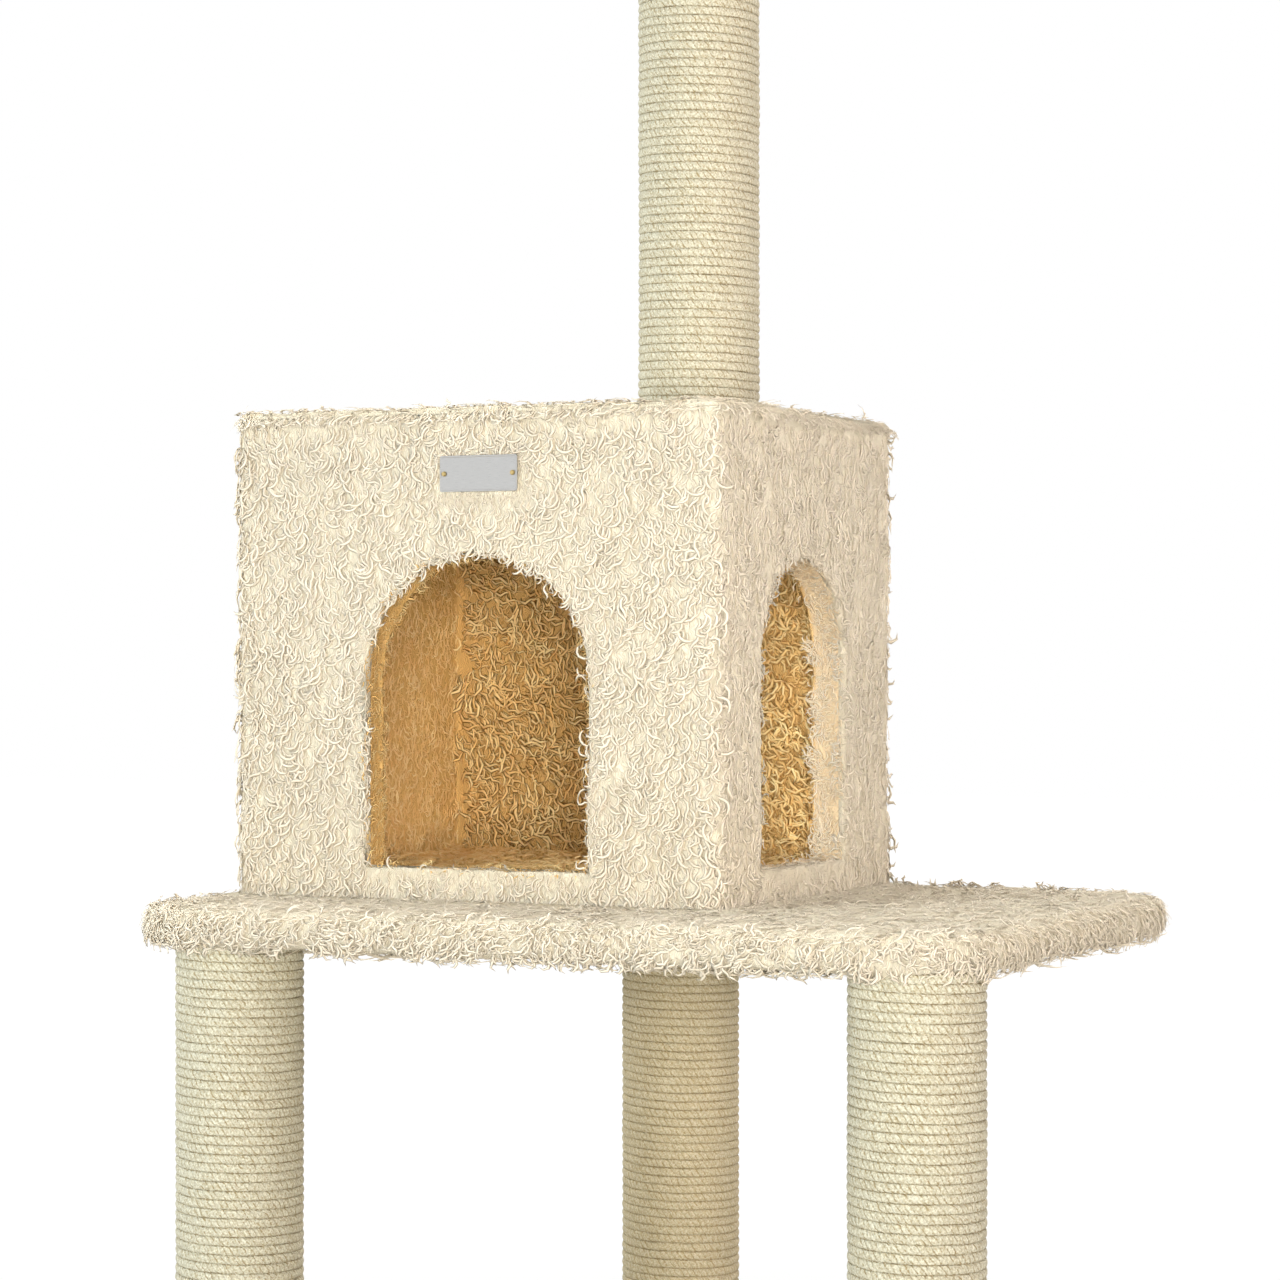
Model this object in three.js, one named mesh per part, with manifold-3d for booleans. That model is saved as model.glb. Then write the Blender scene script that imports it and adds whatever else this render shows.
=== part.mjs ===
// A free-standing cat tree: a plush-covered base, three sisal posts that carry a platform, a plush
// box with two arched doors on the platform, and a fourth post on its roof under a small perch.
// Millimetres, +Z up, the box's main door faces -Y. The origin is the centre of the base's underside.
import * as THREE from "three";
import { mergeVertices } from "three/addons/utils/BufferGeometryUtils.js";
import Module from "manifold-3d";

const wasm = await Module();
wasm.setup();

// ---- Driving dimensions -------------------------------------------------------------------------

const GAP = 0.3; // clearance between neighbouring pieces
const PILE = 6.5; // plush, backing and pile together
const PRESSED = 4; // plush squeezed under a post, under the box and under the base
const BASE_BOARD = 18;
const SHELF_BOARD = 16; // the platform's and the perch's boards
const PANEL = 15; // the box's boards
const SILL = 3.5; // how far a door's sill stands above the floor inside

const BASE = { width: 700, depth: 530, corner: 80, round: 11, hem: 45 };
const PLATFORM = { width: 625, depth: 456, corner: 75, x: 0, y: 0 };
const PERCH = { width: 340, depth: 300, corner: 75, x: -13, y: 90 };
const BOX = { left: -290, right: 90, front: -96, back: 210, height: 340, corner: 12, roofEdge: 4 };
const FRONT_DOOR = { radius: 85.5, centre: -95.5, top: 238.5 }; // centre along X
const SIDE_DOOR = { radius: 73, centre: 45.5, top: 236.5 }; // centre along Y

const POST = { length: 400, radius: 43, rope: 6, tube: 5, plug: 20 };
const LOWER_POSTS = { left: [-236, -172], right: [259, -172], back: [-66.5, 172] };
const TOP_POST = [PERCH.x, PERCH.y];

const BOLT = { shank: 3.9, bore: 4.3, flats: 13, head: 5.3 };
const WASHER = { radius: 11, thick: 1.6 };
const TEE_NUT = { flange: 11, thick: 1.5, barrel: 5, length: 10 };
const SCREW = { shank: 2, bore: 2.4, head: 4, length: 30, tip: 5, inset: 45 };
const PLATE = { width: 60, height: 25, thick: 1, corner: 2, x: -92, above: 292.5 };
const PIN = { shank: 0.7, bore: 1, head: 1.8, dome: 1.2, from: 26.5, reach: 8 };

// ---- Heights, worked out upwards from the floor ---------------------------------------------------

const baseBoardTop = PRESSED + BASE_BOARD;
const baseTop = baseBoardTop + PILE;
const lowerPostFoot = baseBoardTop + PRESSED;
const platformBoard = lowerPostFoot + POST.length + PRESSED; // underside of its board
const platformBoardTop = platformBoard + SHELF_BOARD;
const platformTop = platformBoardTop + PILE;
const boxFoot = platformBoardTop + PRESSED;
const floorBoardTop = boxFoot + PANEL;
const roomFloor = floorBoardTop + PILE;
const boxTop = platformTop + BOX.height;
const roofBoardTop = boxTop - PILE;
const roofBoard = roofBoardTop - PANEL;
const topPostFoot = roofBoardTop + PRESSED;
const perchBoard = topPostFoot + POST.length + PRESSED;
const perchBoardTop = perchBoard + SHELF_BOARD;

// ---- Materials ------------------------------------------------------------------------------------

const finish = (color, roughness, metalness = 0) =>
  new THREE.MeshStandardMaterial({ color, roughness, metalness });

const PLUSH = finish(0xe9dfc6, 0.95);
const LINING = finish(0xc79d60, 0.95);
const SISAL = finish(0xddd6b8, 0.9);
const CHIPBOARD = finish(0xc3a274, 0.85);
const PAPER_TUBE = finish(0xb3966a, 0.9);
const PLUG_WOOD = finish(0xd2b483, 0.8);
const ZINC = finish(0xb4b8bc, 0.35, 1);
const CHROME = finish(0xd9dadb, 0.15, 1);
const BRASS = finish(0xc9a55a, 0.3, 1);

// ---- Solids and meshes ----------------------------------------------------------------------------

const tree = new THREE.Group();

function solidOf(geometry) {
  const bare = geometry.clone();
  bare.deleteAttribute("normal");
  bare.deleteAttribute("uv");
  const merged = mergeVertices(bare, 1e-4);
  return new wasm.Manifold(
    new wasm.Mesh({
      numProp: 3,
      vertProperties: merged.attributes.position.array,
      triVerts: new Uint32Array(merged.index.array),
    }),
  );
}

function add(name, solid, material) {
  const made = solid.getMesh();
  const geometry = new THREE.BufferGeometry();
  geometry.setAttribute("position", new THREE.BufferAttribute(made.vertProperties, 3));
  geometry.setIndex(new THREE.BufferAttribute(made.triVerts, 1));
  geometry.computeVertexNormals();
  const mesh = new THREE.Mesh(geometry, material);
  mesh.name = name;
  tree.add(mesh);
}

const without = (solid, ...cuts) => cuts.reduce((rest, cut) => rest.subtract(cut), solid);

function roundedRectangle(width, depth, radius) {
  const x = width / 2 - radius;
  const y = depth / 2 - radius;
  const shape = new THREE.Shape();
  shape.absarc(x, -y, radius, -Math.PI / 2, 0);
  shape.absarc(x, y, radius, 0, Math.PI / 2);
  shape.absarc(-x, y, radius, Math.PI / 2, Math.PI);
  shape.absarc(-x, -y, radius, Math.PI, Math.PI * 1.5);
  return shape;
}

// A flat board or sheet with rounded corners, from one height to another.
function slab(width, depth, radius, from, to, x = 0, y = 0) {
  const options = { depth: to - from, bevelEnabled: false, curveSegments: 4 };
  const geometry = new THREE.ExtrudeGeometry(roundedRectangle(width, depth, radius), options);
  return solidOf(geometry.translate(x, y, from));
}

// A slab whose edges are rounded over, as plush is when it is pulled round a board.
function padded(width, depth, radius, round, from, to, x = 0, y = 0) {
  const shape = roundedRectangle(width - 2 * round, depth - 2 * round, radius - round);
  const options = {
    depth: to - from - 2 * round,
    bevelThickness: round,
    bevelSize: round,
    bevelSegments: 4,
    curveSegments: 4,
  };
  return solidOf(new THREE.ExtrudeGeometry(shape, options).translate(x, y, from + round));
}

function block(x0, x1, y0, y1, z0, z1) {
  const geometry = new THREE.BoxGeometry(x1 - x0, y1 - y0, z1 - z0);
  return solidOf(geometry.translate((x0 + x1) / 2, (y0 + y1) / 2, (z0 + z1) / 2));
}

// A solid turned about an upright axis from a profile of [radius, height] pairs.
function turned([x, y], profile, segments) {
  const points = profile.map(([radius, height]) => new THREE.Vector2(radius, height));
  const geometry = new THREE.LatheGeometry(points, segments).rotateX(Math.PI / 2);
  return solidOf(geometry.translate(x, y, 0));
}

function rod(place, radius, from, to, segments = 16) {
  const profile = [[0, from], [radius, from], [radius, to], [0, to]];
  return turned(place, profile, segments);
}

function pipe(place, outer, inner, from, to, segments = 24) {
  const profile = [[inner, from], [outer, from], [outer, to], [inner, to], [inner, from]];
  return turned(place, profile, segments);
}

// ---- Fasteners ------------------------------------------------------------------------------------

// A hexagon bolt pointing up: its head hangs below the seat and its shank ends at the tip.
function bolt(place, seat, tip) {
  const head = rod(place, BOLT.flats / Math.sqrt(3), seat - BOLT.head, seat, 6);
  return head.add(rod(place, BOLT.shank, seat - 1, tip));
}

const washer = (place, under) =>
  pipe(place, WASHER.radius, BOLT.bore, under - GAP - WASHER.thick, under - GAP, 16);

const belowWasher = (under) => under - WASHER.thick - 2 * GAP;

// A flanged nut let into the top face of a board, with its barrel pointing down.
function teeNut(place, boardTop) {
  const face = boardTop - GAP;
  const step = face - TEE_NUT.thick;
  const profile = [
    [BOLT.bore, face - TEE_NUT.length],
    [TEE_NUT.barrel, face - TEE_NUT.length],
    [TEE_NUT.barrel, step],
    [TEE_NUT.flange, step],
    [TEE_NUT.flange, face],
    [BOLT.bore, face],
    [BOLT.bore, face - TEE_NUT.length],
  ];
  return turned(place, profile, 16);
}

function teeNutHole(place, boardTop) {
  const through = rod(place, TEE_NUT.barrel + GAP, boardTop - SHELF_BOARD - 1, boardTop + 1);
  const recess = boardTop - TEE_NUT.thick - 2 * GAP;
  return through.add(rod(place, TEE_NUT.flange + GAP, recess, boardTop + 1));
}

// A countersunk wood screw driven upwards from under a board.
function screw(place, under) {
  const profile = [
    [0, under],
    [SCREW.head, under],
    [SCREW.shank, under + SCREW.head],
    [SCREW.shank, under + SCREW.length - SCREW.tip],
    [0, under + SCREW.length],
  ];
  return turned(place, profile, 12);
}

function screwHole(place, under) {
  const shank = rod(place, SCREW.bore, under - 1, under + SCREW.length + 1, 12);
  return shank.add(rod(place, SCREW.head + GAP, under - 1, under + SCREW.head, 12));
}

// ---- Sisal posts ----------------------------------------------------------------------------------

// A paper tube with a wooden plug in each end, wound with rope. A stud stands out of its head
// and a bolt comes up through its foot.
function addPost(name, place, foot, studTop) {
  const head = foot + POST.length;
  const tubeOuter = POST.radius - POST.rope;
  const tubeInner = tubeOuter - POST.tube;
  const plug = (from, to) => pipe(place, tubeInner - GAP, BOLT.bore, from, to);
  const tube = pipe(place, tubeOuter, tubeInner, foot + GAP, head - GAP, 32);
  const rope = pipe(place, POST.radius, tubeOuter + GAP, foot + 1, head - 1, 40);
  add(`${name}_tube`, tube, PAPER_TUBE);
  add(`${name}_sisal_rope`, rope, SISAL);
  add(`${name}_bottom_plug`, plug(foot + GAP, foot + POST.plug), PLUG_WOOD);
  add(`${name}_top_plug`, plug(head - POST.plug, head - GAP), PLUG_WOOD);
  add(`${name}_stud`, rod(place, BOLT.shank, head - POST.plug + 1, studTop), ZINC);
}

// Where a post's end squeezes the plush, and the hole there for its bolt or stud.
const postSeat = (place, from, to) =>
  rod(place, POST.radius + GAP, from, to, 40).add(rod(place, BOLT.bore + GAP, from - 10, to + 10));

for (const [side, place] of Object.entries(LOWER_POSTS)) {
  addPost(`${side}_post`, place, lowerPostFoot, platformBoardTop - 2);
}
addPost("top_post", TOP_POST, topPostFoot, perchBoardTop - 2);

// ---- Base: a board, plush pulled over it and hemmed underneath, and a bolt up into each post ------

// The base's outline, drawn in by inset all round.
function baseSlab(inset, from, to) {
  const corner = Math.max(BASE.corner - inset, BASE.corner / 2);
  return slab(BASE.width - 2 * inset, BASE.depth - 2 * inset, corner, from, to);
}

const boltSeat = PRESSED + BOLT.head + WASHER.thick + 1;
let baseBoard = baseSlab(PILE, PRESSED, baseBoardTop);
let baseCover = without(
  padded(BASE.width, BASE.depth, BASE.corner, BASE.round, 0, baseTop),
  baseSlab(PILE - GAP, PRESSED - GAP, baseBoardTop + GAP),
  baseSlab(PILE + BASE.hem, -1, PRESSED),
);

for (const [side, place] of Object.entries(LOWER_POSTS)) {
  baseBoard = without(
    baseBoard,
    rod(place, BOLT.bore, 0, baseBoardTop + 1),
    rod(place, WASHER.radius + 2, 0, boltSeat),
  );
  baseCover = without(
    baseCover,
    postSeat(place, lowerPostFoot, baseTop + 1),
    rod(place, WASHER.radius + 4, -1, PRESSED),
  );
  const tip = lowerPostFoot + POST.plug - 2;
  add(`${side}_base_washer`, washer(place, boltSeat), ZINC);
  add(`${side}_base_bolt`, bolt(place, belowWasher(boltSeat), tip), ZINC);
}
add("base_board", baseBoard, CHIPBOARD);
add("base_cover", baseCover, PLUSH);

// ---- Platform and perch: each a board wrapped in plush --------------------------------------------

function shelfBoard({ width, depth, corner, x, y }, under, grow = 0) {
  const edge = PILE - grow;
  const top = under + SHELF_BOARD + grow;
  return slab(width - 2 * edge, depth - 2 * edge, corner - edge, under - grow, top, x, y);
}

function shelfCover(shelf, under) {
  const { width, depth, corner, x, y } = shelf;
  const round = SHELF_BOARD / 2 + PILE - 1;
  const top = under + SHELF_BOARD + PILE;
  const outside = padded(width, depth, corner, round, under - PILE, top, x, y);
  return outside.subtract(shelfBoard(shelf, under, GAP));
}

const boxScrews = [];
for (const x of [BOX.left + SCREW.inset, BOX.right - SCREW.inset]) {
  for (const y of [BOX.front + SCREW.inset, BOX.back - SCREW.inset]) {
    boxScrews.push([x, y]);
  }
}

const boxWidth = BOX.right - BOX.left;
const boxDepth = BOX.back - BOX.front;
const boxX = (BOX.left + BOX.right) / 2;
const boxY = (BOX.front + BOX.back) / 2;
const boxSlab = (grow, from, to) =>
  slab(boxWidth + 2 * grow, boxDepth + 2 * grow, BOX.corner, from, to, boxX, boxY);

let platformBoardSolid = shelfBoard(PLATFORM, platformBoard);
let platformCover = shelfCover(PLATFORM, platformBoard).subtract(
  boxSlab(GAP, boxFoot, platformTop + 1),
);
for (const [side, place] of Object.entries(LOWER_POSTS)) {
  const seat = postSeat(place, platformBoard - PILE - 1, lowerPostFoot + POST.length);
  platformBoardSolid = platformBoardSolid.subtract(teeNutHole(place, platformBoardTop));
  platformCover = platformCover.subtract(seat);
  add(`${side}_post_tee_nut`, teeNut(place, platformBoardTop), ZINC);
}
boxScrews.forEach((place, i) => {
  const hole = rod(place, SCREW.bore, platformBoard, boxTop, 12);
  platformBoardSolid = platformBoardSolid.subtract(screwHole(place, platformBoard));
  platformCover = platformCover.subtract(hole);
  add(`box_screw_${i + 1}`, screw(place, platformBoard + GAP), ZINC);
});
add("platform_board", platformBoardSolid, CHIPBOARD);
add("platform_cover", platformCover, PLUSH);

const perchSeat = postSeat(TOP_POST, perchBoard - PILE - 1, topPostFoot + POST.length);
const perchBoardSolid = shelfBoard(PERCH, perchBoard).subtract(teeNutHole(TOP_POST, perchBoardTop));
add("perch_board", perchBoardSolid, CHIPBOARD);
add("perch_cover", shelfCover(PERCH, perchBoard).subtract(perchSeat), PLUSH);
add("top_post_tee_nut", teeNut(TOP_POST, perchBoardTop), ZINC);

// ---- Box: six boards, plush outside, a lining inside, two arched doors ----------------------------

const wall = {
  left: BOX.left + PILE,
  right: BOX.right - PILE,
  front: BOX.front + PILE,
  back: BOX.back - PILE,
};
const room = {
  left: wall.left + PANEL,
  right: wall.right - PANEL,
  front: wall.front + PANEL,
  back: wall.back - PANEL,
};
const wallFoot = boxFoot + GAP;
const wallTop = roofBoard - GAP;
const THROUGH = 40; // how far a cut runs on past a wall

// The arch of a door, larger by margin all round, drawn at the origin and facing -Y. It reaches
// from one distance in front of the origin to another.
function archway({ radius, top }, margin, from, to) {
  const reach = radius + margin;
  const sill = roomFloor + SILL - margin;
  const spring = platformTop + top - radius;
  const shape = new THREE.Shape();
  shape.moveTo(-reach, sill);
  shape.lineTo(reach, sill);
  shape.lineTo(reach, spring);
  shape.absarc(0, spring, reach, 0, Math.PI);
  const options = { depth: to - from, bevelEnabled: false, curveSegments: 10 };
  return new THREE.ExtrudeGeometry(shape, options).translate(0, 0, from).rotateX(Math.PI / 2);
}

// Each door as a solid between two planes across its wall: of y in the front, of x in the side.
const frontDoor = (margin, y0, y1) =>
  solidOf(archway(FRONT_DOOR, margin, -y1, -y0).translate(FRONT_DOOR.centre, 0, 0));

const sideDoor = (margin, x0, x1) =>
  solidOf(
    archway(SIDE_DOOR, margin, x0, x1)
      .rotateZ(Math.PI / 2)
      .translate(0, SIDE_DOOR.centre, 0),
  );

const plateHeight = platformTop + PLATE.above;
const plateBack = BOX.front - GAP;
const pinTip = wall.front + PIN.reach;
const pinPlaces = [PLATE.x - PIN.from, PLATE.x + PIN.from];

// A solid turned about a pin's axis, which runs from front to back, from [radius, y] pairs.
function turnedPin(x, profile) {
  const points = profile.map(([radius, y]) => new THREE.Vector2(radius, y));
  return solidOf(new THREE.LatheGeometry(points, 12).translate(x, 0, plateHeight));
}

function pinHole(x) {
  const from = BOX.front - 1;
  const to = pinTip + 1;
  return turnedPin(x, [[0, from], [PIN.bore, from], [PIN.bore, to], [0, to]]);
}

const frontPanel = without(
  block(wall.left, wall.right, wall.front, room.front, wallFoot, wallTop),
  frontDoor(PILE, wall.front - 1, room.front + 1),
  ...pinPlaces.map(pinHole),
);
const backPanel = block(wall.left, wall.right, room.back, wall.back, wallFoot, wallTop);
const sidePanel = (x0, x1) =>
  block(x0, x1, room.front + GAP, room.back - GAP, wallFoot, wallTop);
const rightPanel = sidePanel(room.right, wall.right).subtract(
  sideDoor(PILE, room.right - 1, wall.right + 1),
);
const floorBlock = block(
  room.left + GAP,
  room.right - GAP,
  room.front + GAP,
  room.back - GAP,
  wallFoot,
  floorBoardTop,
);
const screwHoles = boxScrews.map((place) => screwHole(place, platformBoard));
const roofPanel = block(
  wall.left,
  wall.right,
  wall.front,
  wall.back,
  roofBoard,
  roofBoardTop,
).subtract(rod(TOP_POST, BOLT.bore, roofBoard - 1, roofBoardTop + 1));

add("box_front_panel", frontPanel, CHIPBOARD);
add("box_back_panel", backPanel, CHIPBOARD);
add("box_left_panel", sidePanel(wall.left, room.left), CHIPBOARD);
add("box_right_panel", rightPanel, CHIPBOARD);
add("box_floor_panel", without(floorBlock, ...screwHoles), CHIPBOARD);
add("box_roof_panel", roofPanel, CHIPBOARD);

// The outside plush runs round the four walls and is cut away at the doors.
const insideWallCover = block(
  wall.left - GAP,
  wall.right + GAP,
  wall.front - GAP,
  wall.back + GAP,
  boxFoot - 1,
  boxTop,
);
const wallCover = without(
  boxSlab(0, wallFoot, roofBoardTop),
  insideWallCover,
  frontDoor(0, BOX.front - 1, room.front),
  sideDoor(0, room.right, BOX.right + 1),
  ...pinPlaces.map(pinHole),
);
add("box_wall_cover", wallCover, PLUSH);

// The roof's plush has a rounded edge and meets the top of the walls' plush.
const roofPad = padded(
  boxWidth,
  boxDepth,
  BOX.corner,
  BOX.roofEdge,
  boxTop - PILE - 2 * BOX.roofEdge,
  boxTop,
  boxX,
  boxY,
);
const roofCover = without(
  roofPad,
  boxSlab(1, 0, roofBoardTop + GAP),
  postSeat(TOP_POST, topPostFoot, boxTop + 1),
);
add("box_roof_cover", roofCover, PLUSH);

// The lining covers the boards inside and runs out through each door as far as the outside plush.
const roomX = (room.left + room.right) / 2;
const roomY = (room.front + room.back) / 2;
function roomSlab(inset, from, to) {
  const width = room.right - room.left - 2 * inset;
  const depth = room.back - room.front - 2 * inset;
  return slab(width, depth, 2, from, to, roomX, roomY);
}

const wallLining = without(
  roomSlab(GAP, floorBoardTop + GAP, wallTop)
    .subtract(roomSlab(PILE, boxFoot, boxTop))
    .add(frontDoor(PILE - GAP, wall.front, room.front + PILE))
    .add(sideDoor(PILE - GAP, room.right - PILE, wall.right)),
  frontDoor(0, BOX.front, room.front + THROUGH),
  sideDoor(0, room.right - THROUGH, BOX.right),
);
const floorLining = roomSlab(PILE + GAP, floorBoardTop + GAP, roomFloor);
const ceilingLining = roomSlab(PILE + GAP, roofBoard - PILE, wallTop).subtract(
  rod(TOP_POST, WASHER.radius + 2, roofBoard - PILE - 1, roofBoard),
);
add("box_wall_lining", wallLining, LINING);
add("box_floor_lining", floorLining, LINING);
add("box_ceiling_lining", ceilingLining, LINING);

add("roof_washer", washer(TOP_POST, roofBoard), ZINC);
add("roof_bolt", bolt(TOP_POST, belowWasher(roofBoard), topPostFoot + POST.plug - 2), ZINC);

// ---- Name plate: bare metal on two small brass pins above the main door ----------------------------

const plateShape = roundedRectangle(PLATE.width, PLATE.height, PLATE.corner);
for (const x of [-PIN.from, PIN.from]) {
  const hole = new THREE.Path();
  hole.absarc(x, 0, PIN.bore, 0, Math.PI * 2);
  plateShape.holes.push(hole);
}
const plateOptions = { depth: PLATE.thick, bevelEnabled: false, curveSegments: 4 };
const plateGeometry = new THREE.ExtrudeGeometry(plateShape, plateOptions)
  .rotateX(Math.PI / 2)
  .translate(PLATE.x, plateBack, plateHeight);
add("name_plate", solidOf(plateGeometry), CHROME);

const pinSeat = plateBack - PLATE.thick - GAP;
const pinProfile = [
  [0, pinSeat - PIN.dome],
  [PIN.head * 0.7, pinSeat - PIN.dome * 0.75],
  [PIN.head, pinSeat],
  [PIN.shank, pinSeat],
  [PIN.shank, pinTip],
  [0, pinTip],
];
pinPlaces.forEach((x, i) => add(`plate_pin_${i + 1}`, turnedPin(x, pinProfile), BRASS));

export default tree;
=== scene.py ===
# A cat tree: a plush base, three sisal posts under a plush platform, a plush box with two arched doors
# on it, and a fourth post on the box's roof that carries a small perch. Metres, +Z up. The box's main
# door faces -Y, and the origin is the centre of the base's underside.
import math

import bmesh
import bpy
import numpy as np
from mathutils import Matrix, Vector, noise
from mathutils.bvhtree import BVHTree


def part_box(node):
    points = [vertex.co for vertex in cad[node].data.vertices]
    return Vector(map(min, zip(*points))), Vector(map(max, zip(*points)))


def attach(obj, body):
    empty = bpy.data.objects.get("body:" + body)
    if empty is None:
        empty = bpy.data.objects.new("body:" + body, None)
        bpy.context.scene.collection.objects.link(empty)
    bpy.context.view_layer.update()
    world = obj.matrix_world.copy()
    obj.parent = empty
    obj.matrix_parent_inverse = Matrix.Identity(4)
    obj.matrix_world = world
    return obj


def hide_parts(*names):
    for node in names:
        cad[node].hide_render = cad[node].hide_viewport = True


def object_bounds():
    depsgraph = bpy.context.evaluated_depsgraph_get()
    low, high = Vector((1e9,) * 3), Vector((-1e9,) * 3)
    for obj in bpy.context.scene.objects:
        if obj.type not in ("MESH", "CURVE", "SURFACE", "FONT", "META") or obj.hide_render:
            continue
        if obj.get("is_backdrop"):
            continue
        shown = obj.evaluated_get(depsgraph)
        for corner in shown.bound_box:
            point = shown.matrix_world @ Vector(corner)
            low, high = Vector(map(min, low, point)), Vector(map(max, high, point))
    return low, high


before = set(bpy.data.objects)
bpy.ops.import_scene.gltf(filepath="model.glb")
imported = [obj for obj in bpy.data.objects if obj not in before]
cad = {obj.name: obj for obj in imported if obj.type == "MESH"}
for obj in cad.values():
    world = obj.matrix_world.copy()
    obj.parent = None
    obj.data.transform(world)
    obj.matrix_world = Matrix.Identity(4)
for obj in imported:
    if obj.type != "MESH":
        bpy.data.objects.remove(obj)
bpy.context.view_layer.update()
MM = 0.001


# ---- Boards -----------------------------------------------------------------------------------------
# The base, the platform, the perch and the box's six panels are raw chipboard, sawn square. They are
# glued and screwed together before the plush goes on, which hides all but the base's underside.


class Value:
    """An output socket of a node. Arithmetic on it adds Math nodes."""

    def __init__(self, graph, socket):
        self.graph = graph
        self.socket = socket

    def math(self, operation, *others):
        sockets = dict(enumerate((self, *others)))
        return self.graph.node("ShaderNodeMath", {"operation": operation}, sockets)

    def __add__(self, other):
        return self.math("ADD", other)

    def __sub__(self, other):
        return self.math("SUBTRACT", other)

    def __mul__(self, other):
        return self.math("MULTIPLY", other)

    def __truediv__(self, other):
        return self.math("DIVIDE", other)

    def __rsub__(self, other):
        return (self * -1) + other

    __radd__ = __add__
    __rmul__ = __mul__


class Graph:
    """A tree of nodes, for a material or for a shape."""

    def __init__(self, tree):
        self.tree = tree

    def node(self, kind, settings=None, sockets=None, output=0):
        """Adds a node, sets it up, feeds its sockets, and gives back one of its outputs."""
        made = self.tree.nodes.new(kind)
        for name, value in (settings or {}).items():
            if name == "stops":
                set_stops(made.color_ramp.elements, value)
            else:
                setattr(made, name, value)
        for name, value in (sockets or {}).items():
            if isinstance(value, Value):
                self.tree.links.new(value.socket, made.inputs[name])
            else:
                made.inputs[name].default_value = value
        return Value(self, made.outputs[output])

    def mix(self, share, first, second):
        """From the first colour to the second, as share goes from 0 to 1."""
        sockets = {0: share, 6: first, 7: second}
        return self.node("ShaderNodeMix", {"data_type": "RGBA"}, sockets, 2)

    def vector(self, operation, first, second):
        settings = {"operation": operation}
        return self.node("ShaderNodeVectorMath", settings, {0: first, 1: second})

    def noise(self, place, size, detail=2.0, output=0):
        """Soft noise whose patches are about size across, in metres."""
        sockets = {"Vector": place, "Scale": 1 / size, "Detail": detail}
        return self.node("ShaderNodeTexNoise", None, sockets, output)

    def spread(self, value, low, high):
        """0 below low, 1 above high, and even in between."""
        sockets = {0: value, 1: low, 2: high}
        return self.node("ShaderNodeMapRange", None, sockets)


def set_stops(ramp, stops):
    while len(ramp) < len(stops):
        ramp.new(1)
    for element, (place, colour) in zip(ramp, stops):
        element.position = place
        element.color = (*colour, 1)


class Finish(Graph):
    """A material. Its even values are set on the shader, and its patterns are linked with feed."""

    def __init__(self, name, even):
        self.material = bpy.data.materials.new(name)
        self.material.use_nodes = True
        super().__init__(self.material.node_tree)
        self.shader = self.tree.nodes["Principled BSDF"]
        for socket, value in even.items():
            self.shader.inputs[socket].default_value = value

    def feed(self, socket, value):
        self.tree.links.new(value.socket, self.shader.inputs[socket])

    def place(self):
        return self.node("ShaderNodeTexCoord", output="Object")

    def bump(self, height, strength, depth):
        sockets = {"Height": height, "Strength": strength, "Distance": depth}
        self.feed("Normal", self.node("ShaderNodeBump", None, sockets))


def paint(finish, *names):
    """Puts a finish on CAD nodes that keep their shape."""
    for name in names:
        for holder in cad[name].material_slots:
            holder.material = finish.material


chipboard = Finish("chipboard", {"Roughness": 0.85})
place = chipboard.place()
flake = chipboard.node(
    "ShaderNodeTexVoronoi", None, {"Vector": place, "Scale": 1 / (3.5 * MM)}, "Color"
)
grain = chipboard.node("ShaderNodeSeparateColor", None, {0: flake})
tone = grain * 0.6 + chipboard.noise(place, 40 * MM) * 0.4
flakes = chipboard.node(
    "ShaderNodeValToRGB",
    {"stops": [(0.1, (0.33, 0.2, 0.1)), (0.45, (0.55, 0.38, 0.2)), (0.9, (0.72, 0.55, 0.33))]},
    {0: tone},
)
chipboard.feed("Base Color", flakes)
chipboard.bump(tone, 0.4, 0.4 * MM)
boards = [name for name in cad if name.endswith(("_board", "_panel"))]
paint(chipboard, *boards)


# ---- Posts' tubes and plugs -------------------------------------------------------------------------
# Each post is a wound paper tube, as carpet comes on, with a turned softwood plug glued into each end.
# The plugs take the bolt from below and hold the stud above. Rope and plush hide all of them.

paper = Finish("brown_paper_tube", {"Roughness": 0.9})
place = paper.place()
sloped = paper.node(
    "ShaderNodeMapping", None, {"Vector": place, "Rotation": (0.5, 0, 0.3), "Scale": (1, 1, 6)}
)
fibres = paper.noise(sloped, 6 * MM, 5)
paper.feed("Base Color", paper.mix(fibres, (0.3, 0.19, 0.1, 1), (0.55, 0.4, 0.24, 1)))
paper.bump(fibres, 0.3, 0.2 * MM)
paint(paper, *(name for name in cad if name.endswith("_tube")))

softwood = Finish("turned_softwood", {"Roughness": 0.7})
place = softwood.place()
rings = softwood.node(
    "ShaderNodeTexWave",
    {"wave_type": "RINGS", "rings_direction": "Y"},
    {"Vector": place, "Scale": 60, "Distortion": 4, "Detail": 3},
)
softwood.feed("Base Color", softwood.mix(rings, (0.62, 0.42, 0.22, 1), (0.78, 0.6, 0.37, 1)))
softwood.bump(rings, 0.2, 0.2 * MM)
paint(softwood, *(name for name in cad if name.endswith("_plug")))


# ---- Bolts, washers, studs, nuts and screws ---------------------------------------------------------
# Plain zinc-plated steel: a bolt and washer up into each post, a stud and tee nut above it, and four
# countersunk screws that hold the box's floor to the platform. Only the base's bolt heads show.

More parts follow.
